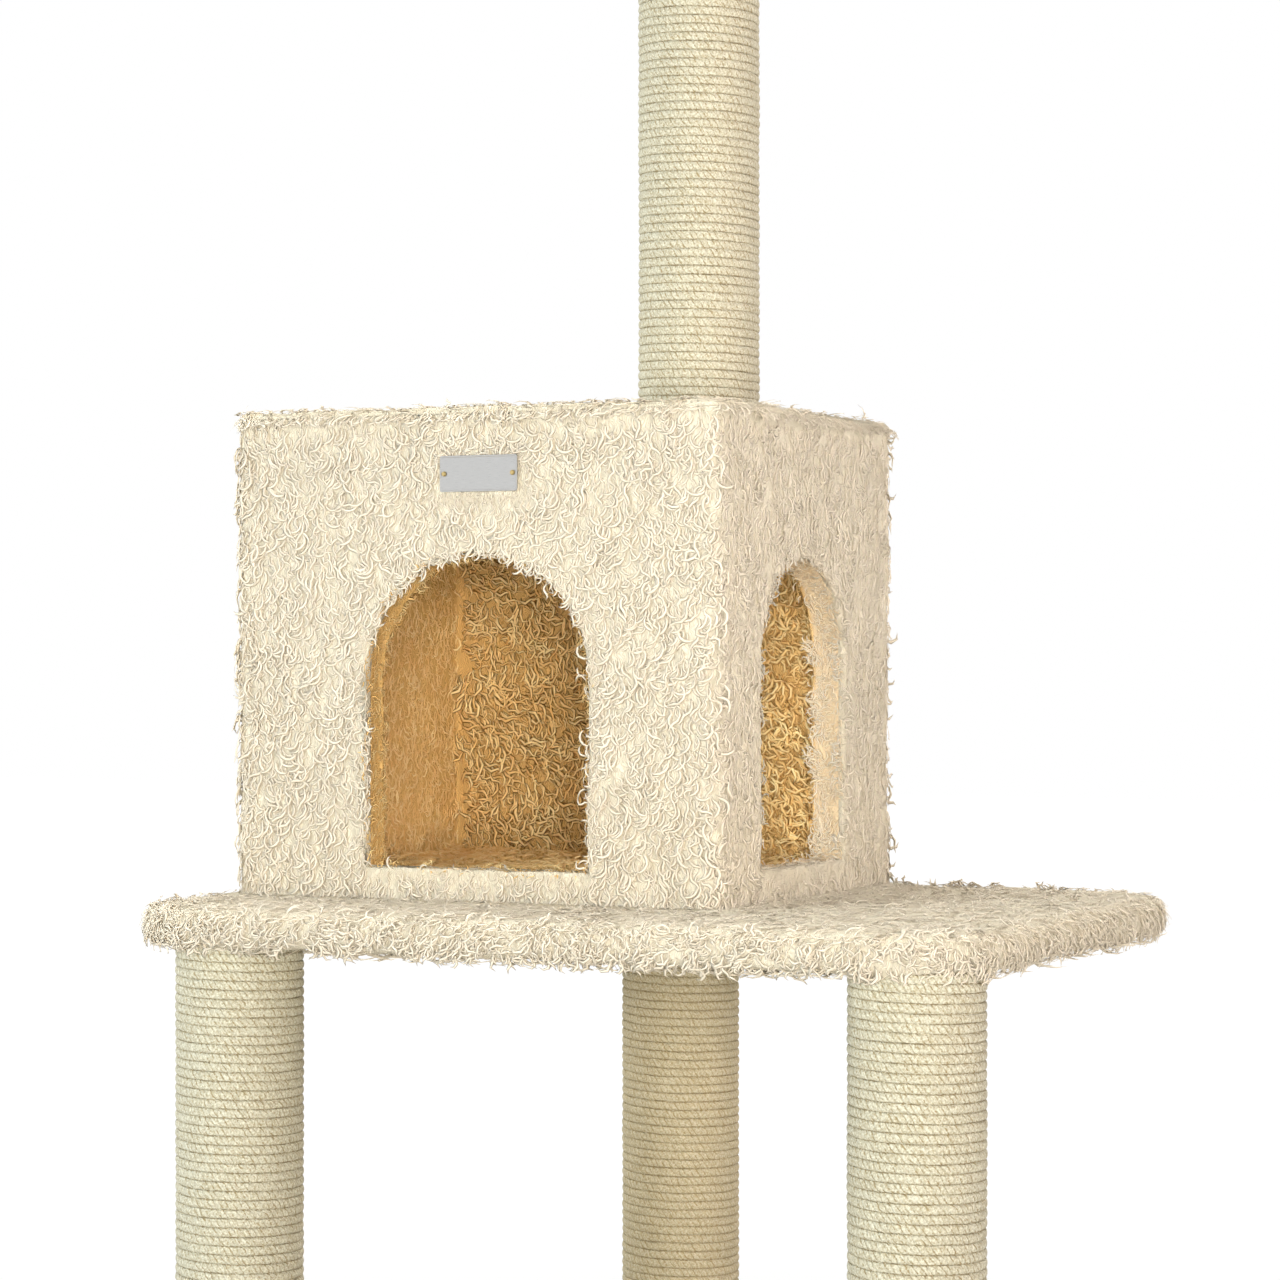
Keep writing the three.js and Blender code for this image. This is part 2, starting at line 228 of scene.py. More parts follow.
zinc = Finish("zinc_plated_steel", {"Metallic": 1})
place = zinc.place()
frost = zinc.noise(place, 1.5 * MM, 4)
zinc.feed("Base Color", zinc.mix(frost, (0.5, 0.52, 0.55, 1), (0.74, 0.75, 0.76, 1)))
zinc.feed("Roughness", frost * 0.3 + 0.22)
steel = ("_bolt", "_washer", "_stud", "_tee_nut")
paint(zinc, *(name for name in cad if name.endswith(steel) or name.startswith("box_screw_")))


# ---- Sisal rope -------------------------------------------------------------------------------------
# Three-strand natural sisal rope, 6 mm thick. It is wound round each tube in tight turns and glued, and
# its ends are stapled, tucked under the plush at the post's foot and head.

POST_RADIUS = 43 * MM
ROPE_HEIGHT = 3.4 * MM  # half of each, as the rope is pulled flat against the tube
ROPE_DEPTH = 2.1 * MM
ROPE_PITCH = 6.13 * MM
ROPE_LAY = 13 * MM  # the length in which a strand goes once round the rope
ROPE_STEPS = 52  # per turn round the post
ROPE_SIDES = 9
# The back post stands in the platform's shadow, and that shade is painted into its rope, browner.
BACK_POST_SHADE = 0.36  # how much browner the back post's rope is than the others'

sisal = Finish("sisal_rope", {"Roughness": 0.85, "Specular IOR Level": 0.25})
wound = sisal.node("ShaderNodeAttribute", {"attribute_name": "rope"}, output="Vector")
run, around, painted_shade = (sisal.node("ShaderNodeSeparateXYZ", None, {0: wound}, i) for i in range(3))
place = sisal.place()
waver = sisal.noise(place, 6 * MM, 3) * 0.3
twist = around + waver - run / ROPE_LAY
strand = (twist * (3 * math.pi)).math("COSINE").math("ABSOLUTE")
drawn = sisal.node("ShaderNodeCombineXYZ", None, {0: run / (5 * MM), 1: twist * 24})
fibres = sisal.node("ShaderNodeTexNoise", None, {"Vector": drawn, "Scale": 1, "Detail": 4})
patches = sisal.noise(place, 35 * MM)
speck = sisal.noise(place, 1.3 * MM, 3)
inward = (around * math.tau).math("COSINE")
patchy_shade = sisal.spread(sisal.noise(place, 4 * MM, 2), 0.4, 0.6)
pale = sisal.mix(patches, (0.59, 0.57, 0.46, 1), (0.66, 0.64, 0.53, 1))
dull = sisal.mix(sisal.spread(fibres, 0.35, 0.6), (0.48, 0.42, 0.28, 1), pale)
# Painted shade, in soft patches: darker in the grooves between the strands, and darker still towards
# the sides of each turn, where it meets its neighbours.
between = (1 - sisal.spread(strand, 0.1, 0.5)) * patchy_shade
groove = sisal.mix(between, dull, (0.34, 0.26, 0.13, 1))
seam_shade = sisal.spread(inward, -0.7, -0.2) * (patchy_shade * 0.5 + 0.4)
groove = sisal.mix(seam_shade, groove, (0.26, 0.18, 0.07, 1))
flecked = sisal.mix(sisal.spread(speck, 0.5, 0.66) * 0.5, groove, (0.32, 0.24, 0.12, 1))
straw = sisal.mix((1 - sisal.spread(speck, 0.34, 0.48)) * 0.6, flecked, (0.82, 0.79, 0.65, 1))
# Painted shade: the back post's rope is drawn browner for the platform's shadow on it.
sisal.feed("Base Color", sisal.mix(painted_shade, straw, (0.42, 0.31, 0.14, 1)))
sisal.bump(fibres * 0.4 + sisal.spread(strand, 0.0, 0.6) * 0.6, 0.9, 0.9 * MM)


class Shape(Graph):
    """A geometry node tree with named inputs, which shapes one object and ends in its material."""

    def __init__(self, name, inputs):
        self.group = bpy.data.node_groups.new(name, "GeometryNodeTree")
        super().__init__(self.group)
        sockets = self.group.interface
        sockets.new_socket("Geometry", in_out="OUTPUT", socket_type="NodeSocketGeometry")
        self.keys = {}
        for label, kind in {"Geometry": "Geometry", **inputs, "Finish": "Material"}.items():
            made = sockets.new_socket(label, in_out="INPUT", socket_type="NodeSocket" + kind)
            self.keys[label] = made.identifier
        self.entry = self.group.nodes.new("NodeGroupInput")

    def given(self, label):
        return Value(self, self.entry.outputs[label])

    def position(self):
        return self.node("GeometryNodeInputPosition")

    def named(self, name, data_type="FLOAT"):
        return self.node("GeometryNodeInputNamedAttribute", {"data_type": data_type}, {0: name})

    def store(self, geometry, name, value, data_type="FLOAT", domain="POINT"):
        settings = {"data_type": data_type, "domain": domain}
        sockets = {0: geometry, 2: name, 3: value}
        return self.node("GeometryNodeStoreNamedAttribute", settings, sockets)

    def end(self, geometry):
        """Realizes what was made, smooths it, gives it its finish and hands it out."""
        plain = self.node("GeometryNodeRealizeInstances", None, {0: geometry})
        smooth = self.node("GeometryNodeSetShadeSmooth", None, {0: plain})
        sockets = {0: smooth, "Material": self.given("Finish")}
        done = self.node("GeometryNodeSetMaterial", None, sockets)
        exit_node = self.group.nodes.new("NodeGroupOutput")
        self.group.links.new(done.socket, exit_node.inputs[0])

    def make(self, name, start, finish, **values):
        """Runs the tree on a mesh and returns a plain object, which is linked to the scene."""
        holder = bpy.data.objects.new("start_of_" + name, start)
        bpy.context.collection.objects.link(holder)
        modifier = holder.modifiers.new("shape", "NODES")
        modifier.node_group = self.group
        for label, value in {**values, "Finish": finish.material}.items():
            modifier[self.keys[label.replace("_", " ")]] = value
        settled = holder.evaluated_get(bpy.context.evaluated_depsgraph_get())
        mesh = bpy.data.meshes.new_from_object(settled)
        bpy.data.objects.remove(holder)
        return shown(name, mesh)


def shown(name, mesh):
    made = bpy.data.objects.new(name, mesh)
    bpy.context.collection.objects.link(made)
    return made


def settle(piece, slot, *nodes):
    """The calls that every piece needs: its body and the CAD nodes that it stands for.
    The slot is not used.
    """
    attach(piece, "root")
    if nodes:
        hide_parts(*nodes)


winding = Shape(
    "wound_rope",
    {
        "Radius": "Float",
        "Turns": "Float",
        "Height": "Float",
        "Foot": "Vector",
        "Lowest": "Float",
        "Highest": "Float",
        "Half Height": "Float",
        "Half Depth": "Float",
        "Steps": "Int",
        "Sides": "Int",
        "Seed": "Float",
    },
)
helix = winding.node(
    "GeometryNodeCurveSpiral",
    None,
    {
        "Resolution": winding.given("Steps"),
        "Rotations": winding.given("Turns"),
        "Start Radius": winding.given("Radius"),
        "End Radius": winding.given("Radius"),
        "Height": winding.given("Height"),
    },
)
run = winding.node("GeometryNodeSplineParameter", output="Length")
helix = winding.store(helix, "run", run)
wander = winding.node(
    "ShaderNodeTexNoise",
    {"noise_dimensions": "4D"},
    {"Vector": winding.position(), "W": winding.given("Seed"), "Scale": 45, "Detail": 2},
    1,
)
wander = winding.vector("SUBTRACT", wander, (0.5, 0.5, 0.5))
wander = winding.vector("MULTIPLY", wander, (1.2 * MM, 1.2 * MM, 1.4 * MM))
offset = winding.vector("ADD", winding.given("Foot"), wander)
helix = winding.node("GeometryNodeSetPosition", None, {0: helix, "Offset": offset})

# The first and the last turn are pushed flat against the plush below and above.
height = winding.node("ShaderNodeSeparateXYZ", None, {0: winding.position()}, 2)
height = height.math("MAXIMUM", winding.given("Lowest")).math("MINIMUM", winding.given("Highest"))
across = winding.vector("MULTIPLY", winding.position(), (1, 1, 0))
upright = winding.node("ShaderNodeCombineXYZ", None, {2: height})
pushed = winding.vector("ADD", across, upright)
helix = winding.node("GeometryNodeSetPosition", None, {0: helix, "Position": pushed})
helix = winding.node("GeometryNodeSetCurveNormal", {"mode": "Z_UP"}, {0: helix})

# The rope's section, with its points closest together on the side that shows.
ring = winding.node(
    "GeometryNodeCurvePrimitiveCircle", None, {"Resolution": winding.given("Sides"), "Radius": 1}
)
even = winding.node("GeometryNodeSplineParameter", output="Factor") * math.tau
angle = even + even.math("SINE") * 0.4
ring = winding.store(ring, "angle", angle)
flattened = winding.node(
    "ShaderNodeCombineXYZ",
    None,
    {
        0: angle.math("COSINE") * winding.given("Half Depth"),
        1: angle.math("SINE") * winding.given("Half Height"),
    },
)
ring = winding.node("GeometryNodeSetPosition", None, {0: ring, "Position": flattened})
tube = winding.node(
    "GeometryNodeCurveToMesh", None, {0: helix, "Profile Curve": ring, "Fill Caps": True}
)
winding.end(tube)


def rope_map(mesh, length, painted_shade):
    """Lays the winding out flat, one turn a row, for the surface pattern and the baked colours. The
    third argument is how much painted shade a post's rope gets, which draws it browner."""
    count = len(mesh.loops)
    corner = np.empty(count, int)
    mesh.loops.foreach_get("vertex_index", corner)
    values = {}
    for name in ("run", "angle"):
        held = np.empty(len(mesh.vertices))
        mesh.attributes[name].data.foreach_get("value", held)
        values[name] = held[corner]
        mesh.attributes.remove(mesh.attributes[name])
    first = np.empty(len(mesh.polygons), int)
    sides = np.empty(len(mesh.polygons), int)
    mesh.polygons.foreach_get("loop_start", first)
    mesh.polygons.foreach_get("loop_total", sides)
    face = np.repeat(np.arange(len(first)), sides)
    around = values["angle"] / math.tau
    widest = np.maximum.reduceat(around, first)[face]
    around = np.where((widest > 0.7) & (around < 0.3), around + 1, around)
    turn = np.floor(np.minimum.reduceat(values["run"], first)[face] / length + 1e-6)
    rows = turn.max() + 1
    flat = np.stack([values["run"] / length - turn, (turn + 0.02 + 0.96 * around) / rows], 1)
    layer = mesh.uv_layers.new(name="OFBake", do_init=False)
    layer.uv.foreach_set("vector", flat.astype(np.float32).ravel())
    pattern = mesh.attributes.new("rope", "FLOAT_VECTOR", "CORNER")
    along = np.stack([values["run"], around, np.full(count, painted_shade)], 1)
    pattern.data.foreach_set("vector", along.astype(np.float32).ravel())


for order, post in enumerate(("left_post", "right_post", "back_post", "top_post")):
    low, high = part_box(post + "_sisal_rope")
    centre = (low + high) / 2
    lowest, highest = low.z + ROPE_HEIGHT - 0.6 * MM, high.z - ROPE_HEIGHT + 1.6 * MM
    height = highest - lowest + 1.8 * ROPE_PITCH
    radius = POST_RADIUS - ROPE_DEPTH + 0.7 * MM
    rope = winding.make(
        post + "_rope",
        bpy.data.meshes.new("empty"),
        sisal,
        Radius=radius,
        Turns=height / ROPE_PITCH,
        Height=height,
        Foot=(centre.x, centre.y, lowest - 0.9 * ROPE_PITCH),
        Lowest=lowest,
        Highest=highest,
        Half_Height=ROPE_HEIGHT,
        Half_Depth=ROPE_DEPTH,
        Steps=ROPE_STEPS,
        Sides=ROPE_SIDES,
        Seed=float(order),
    )
    # Only the back post, in the platform's shadow, gets painted shade.
    painted_shade = BACK_POST_SHADE if post == "back_post" else 0
    rope_map(rope.data, math.hypot(math.tau * radius, ROPE_PITCH), painted_shade)
    settle(rope, "sisal", post + "_sisal_rope")


# ---- Plush covers -----------------------------------------------------------------------------------
# Curly cream sherpa plush, glued and stapled over the boards: one piece round each shelf and the base,
# one round the box's walls and one over its roof. The inside has the same plush, drawn tan as painted
# shade, which runs out through both doors and is drawn pale at the side door as painted light. The pile
# stands up in soft lumps.

CUT = 8 * MM  # the size of the small faces that a cover is divided into
SUNK = 1.8 * MM  # how far the pile's body lies below the tips of its curls
LUMP = 1.5 * MM
# Where x passes these, the covers turn to painted light from the side door.
SIDE_LIT_STARTS = (63 * MM, 66 * MM)


def seated(places):
    """Which points lie where a post or the box presses into the plush."""
    x, y, z = places.T
    low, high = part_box("box_wall_cover")
    reach = 1 * MM
    found = (x > low.x - reach) & (x < high.x + reach) & (y > low.y - reach) & (y < high.y + reach)
    found &= (z > low.z - reach) & (z < high.z + reach) & (z < 470 * MM)
    for name in cad:
        if name.endswith("_sisal_rope"):
            low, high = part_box(name)
            centre = (low + high) / 2
            near = np.hypot(x - centre.x, y - centre.y) < POST_RADIUS + 2 * MM
            found |= near & (z > low.z - 3 * MM) & (z < high.z + 3 * MM)
    return found


def cut_small(mesh):
    """Slices a mesh by evenly spaced planes along all three axes."""
    form = bmesh.new()
    form.from_mesh(mesh)
    bmesh.ops.remove_doubles(form, verts=form.verts, dist=1e-6)
    bmesh.ops.dissolve_limit(form, angle_limit=0.005, verts=form.verts, edges=form.edges)
    places = np.array([v.co for v in form.verts])
    for axis in range(3):
        low, high = places[:, axis].min(), places[:, axis].max()
        across = [0, 0, 0]
        across[axis] = 1
        for step in np.arange(low + 0.5 * CUT, high, CUT):
            point = [0, 0, 0]
            point[axis] = step
            geom = form.verts[:] + form.edges[:] + form.faces[:]
            bmesh.ops.bisect_plane(form, geom=geom, dist=1e-7, plane_co=point, plane_no=across)
    bmesh.ops.remove_doubles(form, verts=form.verts, dist=0.3 * MM)
    made = bpy.data.meshes.new("cut")
    form.to_mesh(made)
    form.free()
    return made


class Cover:
    """A plush cover made from a CAD node, and the places on it where pile can stand."""

    def __init__(self, name, node, boards, finish, slot, drawn=(1, 1, 1)):
        mesh = cut_small(cad[node].data)
        mesh.name = name
        mesh.materials.clear()
        mesh.materials.append(finish.material)
        points = []
        faces = []
        for board in boards:
            start = len(points)
            points += [v.co.copy() for v in cad[board].data.vertices]
            faces += [[start + i for i in p.vertices] for p in cad[board].data.polygons]
        inside = BVHTree.FromPolygons(points, faces)
        self.normals = np.array([p.normal for p in mesh.polygons])
        self.centres = np.array([p.center for p in mesh.polygons])
        away = self.centres - np.array([inside.find_nearest(c)[0] for c in self.centres])
        far = np.linalg.norm(away, axis=1)
        looks_out = (away * self.normals).sum(1) > 0.3 * far
        self.outer = looks_out & (far > 2.5 * MM)
        if node in ("base_cover", "platform_cover", "perch_cover", "box_roof_cover"):
            self.outer &= ~seated(self.centres)
        if node == "base_cover":
            self.outer &= self.normals[:, 2] > -0.4

        places = np.array([v.co for v in mesh.vertices])
        outwards = np.array([v.normal for v in mesh.vertices])
        held = np.zeros(len(places), bool)
        for p in mesh.polygons:
            if not self.outer[p.index]:
                held[list(p.vertices)] = True
        for i in np.flatnonzero(~held):
            spot = Vector(places[i] * drawn)
            lump = noise.noise(spot / (15 * MM)) + 0.5 * noise.noise(spot / (7 * MM))
            room = inside.find_nearest(places[i])[3] - 2 * MM
            places[i] += outwards[i] * max(lump * LUMP - SUNK, -room)
        mesh.vertices.foreach_set("co", places.astype(np.float32).ravel())
        mesh.shade_smooth()
        self.piece = shown(name, mesh)
        settle(self.piece, slot, node)

    def patch(self, chosen):
        """The outer faces, as points and faces, for whose normals and centres chosen is true."""
        mesh = self.piece.data
        picked = np.flatnonzero(self.outer & chosen(self.normals.T, self.centres.T))
        corners = [list(mesh.polygons[i].vertices) for i in picked]
        used = sorted({i for face in corners for i in face})
        fresh = {old: new for new, old in enumerate(used)}
        points = [mesh.vertices[i].co for i in used]
        return points, [[fresh[i] for i in face] for face in corners]


def plush(name, root, body, side_lit):
    """The covers' finish: painted shade of the pile's depth, with the wavy marks of curls that lie
    flat. To the right of the room, where the side door's edge is, it turns to the colour given last,
    painted light that falls in through the side door."""
    made = Finish(name, {"Roughness": 0.95, "Specular IOR Level": 0.15})
    place = made.place()
    shift = made.vector("SUBTRACT", made.noise(place, 8 * MM, 2, 1), (0.5, 0.5, 0.5))
    bent = made.vector("ADD", place, made.vector("MULTIPLY", shift, (9 * MM, 9 * MM, 9 * MM)))
    x, y, z = (made.node("ShaderNodeSeparateXYZ", None, {0: bent}, i) for i in range(3))
    waves = ((x + y) * (math.pi / (1.6 * MM))).math("SINE").math("ABSOLUTE")
    curls = waves * 0.6 + made.noise(place, 3 * MM, 3) * 0.4
    outwards = made.node("ShaderNodeSeparateXYZ", None, {0: place})
    colour = made.mix(made.spread(curls, 0.2, 0.7), root, body)
    made.feed("Base Color", made.mix(made.spread(outwards, *SIDE_LIT_STARTS), colour, side_lit))
    made.bump(curls, 0.8, 1 * MM)
    return made


CREAM_BODY = (0.75, 0.68, 0.54, 1)
cream_plush = plush("cream_plush", (0.6, 0.52, 0.39, 1), CREAM_BODY, CREAM_BODY)
# The lining is the same cream plush, drawn tan as painted shade inside the box, and paler at the side
# door as painted light.
shade_tan_plush = plush("shade_tan_plush", (0.55, 0.31, 0.1, 1), (0.84, 0.54, 0.21, 1), (0.84, 0.66, 0.43, 1))

panels = [f"box_{side}_panel" for side in ("front", "back", "left", "right", "roof")]
base = Cover("base_plush", "base_cover", ["base_board"], cream_plush, "plush")
platform = Cover("platform_plush", "platform_cover", ["platform_board"], cream_plush, "plush")
perch = Cover("perch_plush", "perch_cover", ["perch_board"], cream_plush, "plush")
hanging = (1, 1, 0.5)
walls = Cover("box_wall_plush", "box_wall_cover", panels, cream_plush, "plush", hanging)
roof = Cover("box_roof_plush", "box_roof_cover", ["box_roof_panel"], cream_plush, "plush")
inner_walls = Cover("box_wall_lining_plush", "box_wall_lining", panels, shade_tan_plush, "lining")
inner_floor = Cover(
    "box_floor_lining_plush", "box_floor_lining", ["box_floor_panel"], shade_tan_plush, "lining"
)
ceiling = Cover(
    "box_ceiling_lining_plush", "box_ceiling_lining", ["box_roof_panel"], shade_tan_plush, "lining"
)


# ---- Pile -------------------------------------------------------------------------------------------
# The plush's curls: soft acrylic locks about a centimetre long, knitted into the backing, that lie over
# each other. On the walls they hang, on the shelves they swirl, and at openings they are cut short.

# The heading of each stretch of a lock from the root, in degrees, and the height that each ends at.
CURLS = {
    "bowed_left": ((-50, -25, 10, 45, 30, -15), (0.06, 0.1, 0.12, 0.12, 0.1, 0.06)),
    "bowed_right": ((50, 25, -10, -45, -30, 15), (0.06, 0.1, 0.12, 0.12, 0.1, 0.06)),
    "wave": ((50, -10, -55, -20, 45, 60), (0.06, 0.1, 0.12, 0.13, 0.11, 0.07)),
    "weft": ((-50, 10, 55, 20, -45, -60), (0.06, 0.1, 0.12, 0.13, 0.11, 0.07)),
    "crook_left": ((45, 10, -20, -45, -70, -100), (0.07, 0.11, 0.13, 0.14, 0.13, 0.1)),
    "crook_right": ((-45, -10, 20, 45, 70, 100), (0.07, 0.11, 0.13, 0.14, 0.13, 0.1)),
    "flick": ((0, 30, 10, -30, -60, -90), (0.08, 0.13, 0.17, 0.21, 0.23, 0.22)),
}
TUFTS = {
    "bent_left": ((-45, 0, 50, 20), (0.1, 0.15, 0.16, 0.1)),
    "bent_right": ((45, 0, -50, -20), (0.1, 0.15, 0.16, 0.1)),
    "ripple": ((45, -40, -10, 60), (0.1, 0.15, 0.17, 0.12)),
    "flip": ((5, -20, -70, -120), (0.11, 0.18, 0.21, 0.18)),
}

CLUMP = 13 * MM  # the size of the clumps that the pile parts into


def lock_mesh(name, headings, heights, width):
    """A closed flat lock of unit length, lying along X, with a low ridge on top."""
    path = [Vector((0, 0, -0.1))]
    for heading, height in zip(headings, heights):
        turned = math.radians(heading)
        stretch = 1.2 / len(headings)
        ahead = path[-1] + Vector((math.cos(turned), math.sin(turned), 0)) * stretch
        path.append(Vector((ahead.x, ahead.y, height)))
    last = len(path) - 1
    points = [path[0]]
    along = [0.0]
    side = [0.5]
    for k in range(1, last):
        forward = (path[k + 1] - path[k - 1]).normalized()
        across = forward.cross(Vector((0, 0, 1))).normalized()
        upward = across.cross(forward)
        half = width / 2 * (0.7 if k in (1, last - 1) else 1)
        for share, lift in ((-1, 0), (0, 0.6), (1, 0)):
            points.append(path[k] + across * share * half + upward * lift * half)
            along.append(k / last)
            side.append((share + 1) / 2)
    points.append(path[last])
    along.append(1.0)
    side.append(0.5)
    tip = len(points) - 1
    faces = []
    for i in range(3):
        j = (i + 1) % 3
        faces.append((0, 1 + j, 1 + i))
        for ring in range(1, tip - 3, 3):
            faces.append((ring + i, ring + j, ring + 3 + j))
            faces.append((ring + i, ring + 3 + j, ring + 3 + i))
        faces.append((tip - 3 + i, tip - 3 + j, tip))
    mesh = bpy.data.meshes.new(name)
    mesh.from_pydata(points, [], faces)
    for label, values in (("along", along), ("side", side)):
        mesh.attributes.new(label, "FLOAT", "POINT").data.foreach_set("value", values)
    return mesh


def lock_set(name, kinds, width):
    group = bpy.data.collections.new(name)
    for kind, (headings, heights) in kinds.items():
        group.objects.link(bpy.data.objects.new(kind, lock_mesh(kind, headings, heights, width)))
    return group


# The pile grows on a patch of a cover. A lock's heading follows the lie of the cloth, bent by soft
# swirls so that neighbours stay side by side in wavy bundles, and each is a little tousled.
growth = Shape(
    "pile",
    {
        "Density": "Float",
        "Length": "Float",
        "Rise": "Float",
        "Lie": "Vector",
        "Swirl": "Float",
        "Swirls": "Float",
        "Tousle": "Float",
        "Grain": "Vector",
        "Locks": "Collection",
        "Seed": "Int",
    },
)


def chance(low, high, draw, data_type="FLOAT"):
    """A random number for each lock. draw tells one use of the seed from another."""
    first, output = {"FLOAT": (2, 1), "INT": (4, 2), "FLOAT_VECTOR": (0, 0)}[data_type]
    sockets = {first: low, first + 1: high, 8: growth.given("Seed") + draw}
    return growth.node("FunctionNodeRandomValue", {"data_type": data_type}, sockets, output)


def scaled(vector, share):
    settings = {"operation": "SCALE"}
    return growth.node("ShaderNodeVectorMath", settings, {0: vector, "Scale": share})


def field(scale):
    """A soft vector field through the cloth, from about -1 to 1."""
    settings = {"noise_dimensions": "4D"}
    sockets = {"Vector": growth.position(), "W": growth.given("Seed"), "Scale": scale, "Detail": 1}
    found = growth.node("ShaderNodeTexNoise", settings, sockets, 1)
    return scaled(growth.vector("SUBTRACT", found, (0.5, 0.5, 0.5)), 4)


sown = {
    0: growth.given("Geometry"),
    "Density": growth.given("Density") / growth.named("trim"),
    "Seed": growth.given("Seed"),
}
roots = growth.node("GeometryNodeDistributePointsOnFaces", None, sown)
upright = Value(growth, roots.socket.node.outputs["Normal"])
heading = growth.vector(
    "ADD", growth.given("Lie"), scaled(field(growth.given("Swirls")), growth.given("Swirl"))
)
stray = chance((-1, -1, -1), (1, 1, 1), 1, "FLOAT_VECTOR")
heading = growth.vector("ADD", heading, scaled(stray, growth.given("Tousle")))
aslant = chance((-1, -1, -1), (1, 1, 1), 2, "FLOAT_VECTOR")
lean = growth.vector("ADD", upright, scaled(aslant, 0.12))
turned = growth.node(
    "FunctionNodeAxesToRotation",
    {"primary_axis": "Z", "secondary_axis": "X"},
    {"Primary Axis": lean, "Secondary Axis": heading},
)

# The pile parts into clumps. Locks are shorter between them and at the edges of openings, and
# between clumps they are drawn darker, as painted shade.
stretched = growth.vector("MULTIPLY", growth.position(), growth.given("Grain"))
cells = growth.node(
    "ShaderNodeTexVoronoi",
    {"feature": "DISTANCE_TO_EDGE"},
    {"Vector": stretched, "Scale": 1 / CLUMP},
)
clump = growth.spread(cells, 0.0, 0.3)
long = growth.given("Length") * growth.named("trim") * chance(0.7, 1.3, 3)
rise = growth.given("Length") * growth.given("Rise") * (clump * 0.5 + 0.6) * chance(0.7, 1.3, 4)
size = growth.node("ShaderNodeCombineXYZ", None, {0: long, 1: long, 2: rise})
locks = growth.node(
    "GeometryNodeCollectionInfo",
    None,
    {"Collection": growth.given("Locks"), "Separate Children": True, "Reset Children": True},
)
placed = growth.node(
    "GeometryNodeInstanceOnPoints",
    None,
    {
        0: roots,
        "Instance": locks,
        "Pick Instance": True,
        "Instance Index": chance(0, 11, 5, "INT"),
        "Rotation": turned,
        "Scale": size,
    },
)
# Random tone, and painted shade: locks between clumps are drawn darker.
tint = clump * 0.55 + chance(0, 0.45, 6)
placed = growth.store(placed, "tint", tint, domain="INSTANCE")
growth.end(placed)


def lock_map(mesh):
    """Each lock's place in a chart: eight columns, one for each step of its tone and painted shade,
    that run across the lock, and rows that run from its root to its tip. It serves the colours and
    their bake."""
    held = {}
    for name in ("tint", "along", "side"):
        held[name] = np.empty(len(mesh.vertices))
        mesh.attributes[name].data.foreach_get("value", held[name])
        mesh.attributes.remove(mesh.attributes[name])
    column = np.floor(held["tint"].clip(0, 0.999) * 8)
    corner = np.empty(len(mesh.loops), int)
    mesh.loops.foreach_get("vertex_index", corner)
    chart = np.column_stack([(column + 0.1 + 0.8 * held["side"]) / 8, 0.02 + 0.96 * held["along"]])
    layer = mesh.uv_layers.new(name="OFBake", do_init=False)
    layer.uv.foreach_set("vector", chart[corner].astype(np.float32).ravel())
    pattern = mesh.attributes.new("strand", "FLOAT_VECTOR", "POINT")
    strand = np.column_stack([column / 7, held["along"], held["side"]])
    pattern.data.foreach_set("vector", strand.astype(np.float32).ravel())


def curly(name, root, body, tip, gap_shade):
    """A pile's finish. A lock is drawn darker at its root and along both sides, painted shade where it
    sinks between its neighbours, and each lock has a slightly other tone, with painted shade between
    clumps."""
    made = Finish(name, {"Roughness": 0.85, "Specular IOR Level": 0.15})
    strand = made.node("ShaderNodeAttribute", {"attribute_name": "strand"}, output="Vector")
    tint, along, side = (made.node("ShaderNodeSeparateXYZ", None, {0: strand}, i) for i in range(3))
    full = made.mix(tint, body, tip)
    ridge = (side * math.pi).math("SINE")
    side_shaded = made.mix(made.spread(ridge, 0.1, 0.8), gap_shade, full)
    made.feed("Base Color", made.mix(made.spread(along, 0.0, 0.35), root, side_shaded))
    return made


CREAM = (0.71, 0.63, 0.51, 1)
PALE_CREAM = (0.78, 0.7, 0.58, 1)
# The next two colours are painted shade: the room's pile is the same cream plush, drawn tan for the
# warm shade inside the box.
SHADE_TAN = (0.85, 0.53, 0.2, 1)
PALE_SHADE_TAN = (1, 0.8, 0.42, 1)
EVEN_CREAM = (0.72, 0.64, 0.52, 1)
# Painted light: the room's tan drawn paler and pinker where light falls in through the side door.
SIDE_LIT_PEACH = (0.86, 0.68, 0.44, 1)
# The root and gap colours of a pile are painted shade between its locks; the smooth finishes have
# little of it.
cream = curly("cream_pile", (0.65, 0.57, 0.44, 1), CREAM, PALE_CREAM, (0.66, 0.58, 0.45, 1))
smooth_cream = curly("smooth_cream_pile", EVEN_CREAM, CREAM, PALE_CREAM, EVEN_CREAM)
# The near-black root and gap of the room's pile are painted deep shade between its locks.
shade_tan = curly("shade_tan_pile", (0.28, 0.14, 0.04, 1), SHADE_TAN, PALE_SHADE_TAN, (0.24, 0.12, 0.03, 1))
smooth_shade_tan = curly("smooth_shade_tan_pile", (0.8, 0.51, 0.2, 1), SHADE_TAN, PALE_SHADE_TAN, (0.84, 0.54, 0.21, 1))
side_lit_peach = curly("side_lit_peach_pile", SIDE_LIT_PEACH, (0.88, 0.72, 0.5, 1), PALE_CREAM, SIDE_LIT_PEACH)
curls = lock_set("curls", CURLS, 0.135)
tufts = lock_set("tufts", TUFTS, 0.17)
cream_pile = (cream, "plush")
shade_tan_pile = (shade_tan, "lining")
smooth_cream_pile = (smooth_cream, "plush")
side_lit_peach_pile = (side_lit_peach, "plush")
smooth_shade_tan_pile = (smooth_shade_tan, "lining")

DOWN = (0, 0, -1)
ASIDE = (0.8, 0, -0.5)
NOWHERE = (0, 0, 0)


box_low, box_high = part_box("box_wall_cover")
room_low, room_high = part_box("box_floor_lining")
plate_low, plate_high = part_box("name_plate")
